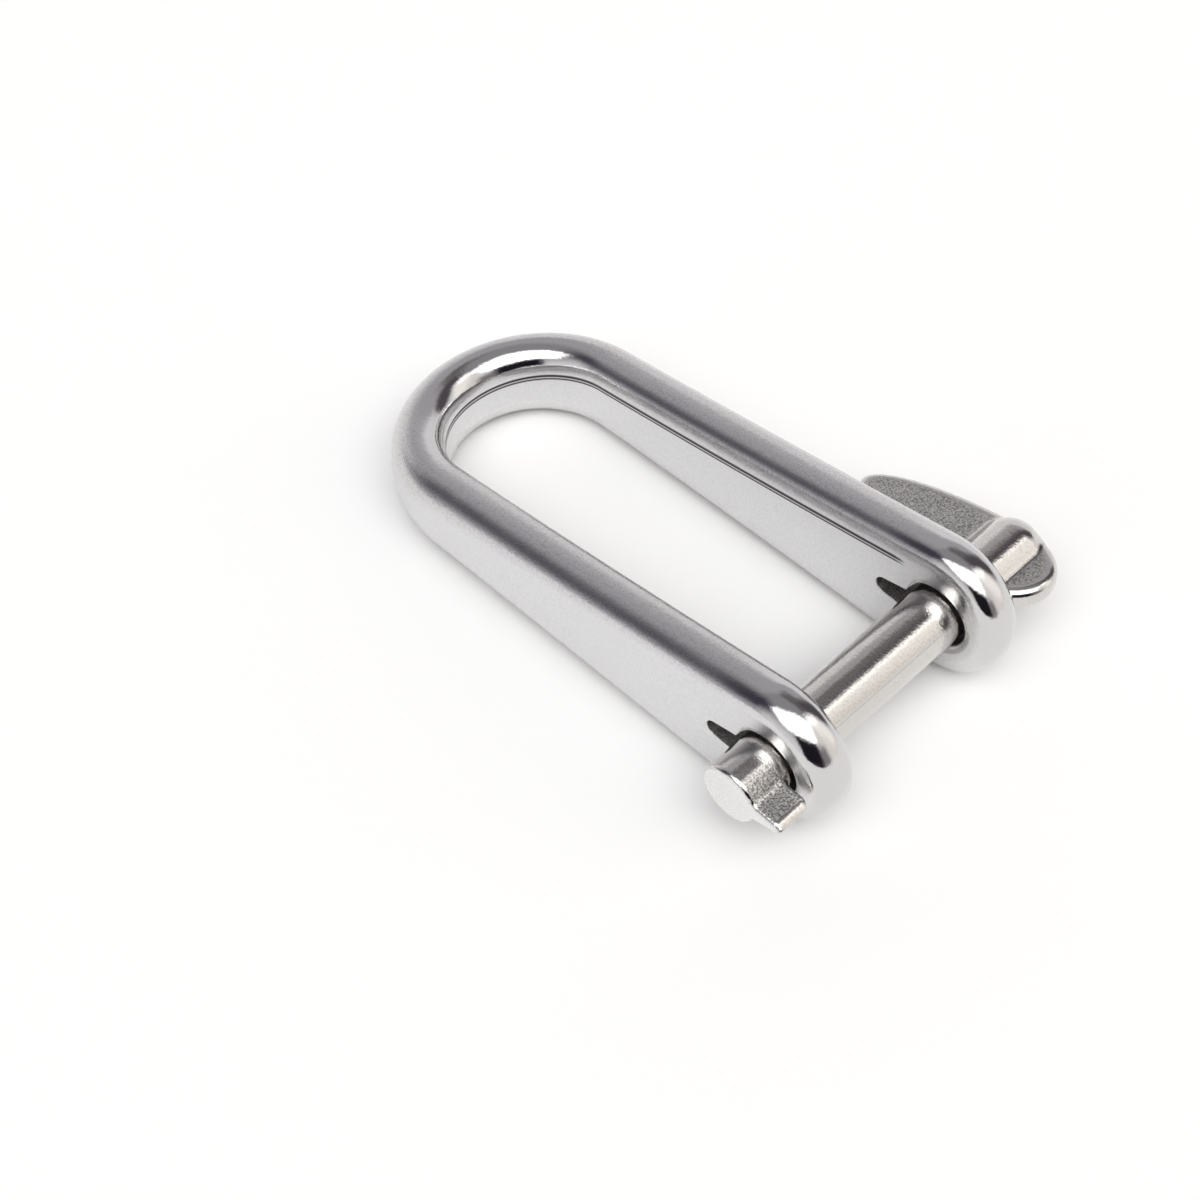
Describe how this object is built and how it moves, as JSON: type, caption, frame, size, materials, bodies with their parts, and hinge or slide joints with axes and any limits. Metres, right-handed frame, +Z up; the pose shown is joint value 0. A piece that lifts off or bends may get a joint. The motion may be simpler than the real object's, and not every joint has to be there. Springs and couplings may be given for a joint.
{
  "type": "key pin shackle",
  "caption": "Long U-shaped shackle in cast stainless steel, with round flared ears, keyholes, and a key pin that has a wing handle and a locking lug.",
  "frame": {"origin": "centre of the shackle's box at ground level, with the shackle lying as it comes to rest on its bend and both ears", "axes": "+X from the bend towards the ears, +Y along the pin from its free end towards the wing handle, +Z up"},
  "size_m": [0.0538, 0.0342, 0.0124],
  "materials": {
    "bow_steel": "cast stainless steel, tumbled and polished to a satin shine",
    "pin_steel": "cast stainless steel, polished on the shaft, cast grain left on the lug and the handle"
  },
  "bodies": {
    "bow": {"bow": "bow_steel"},
    "key_pin": {"key_pin": "pin_steel"}
  },
  "joints": [
    {"name": "pin_turn", "type": "hinge", "parent": "bow", "child": "key_pin", "pos_m": [0.02117, -0.00195, 0.00621], "axis": [0, 1, 0], "continuous": true}
  ]
}
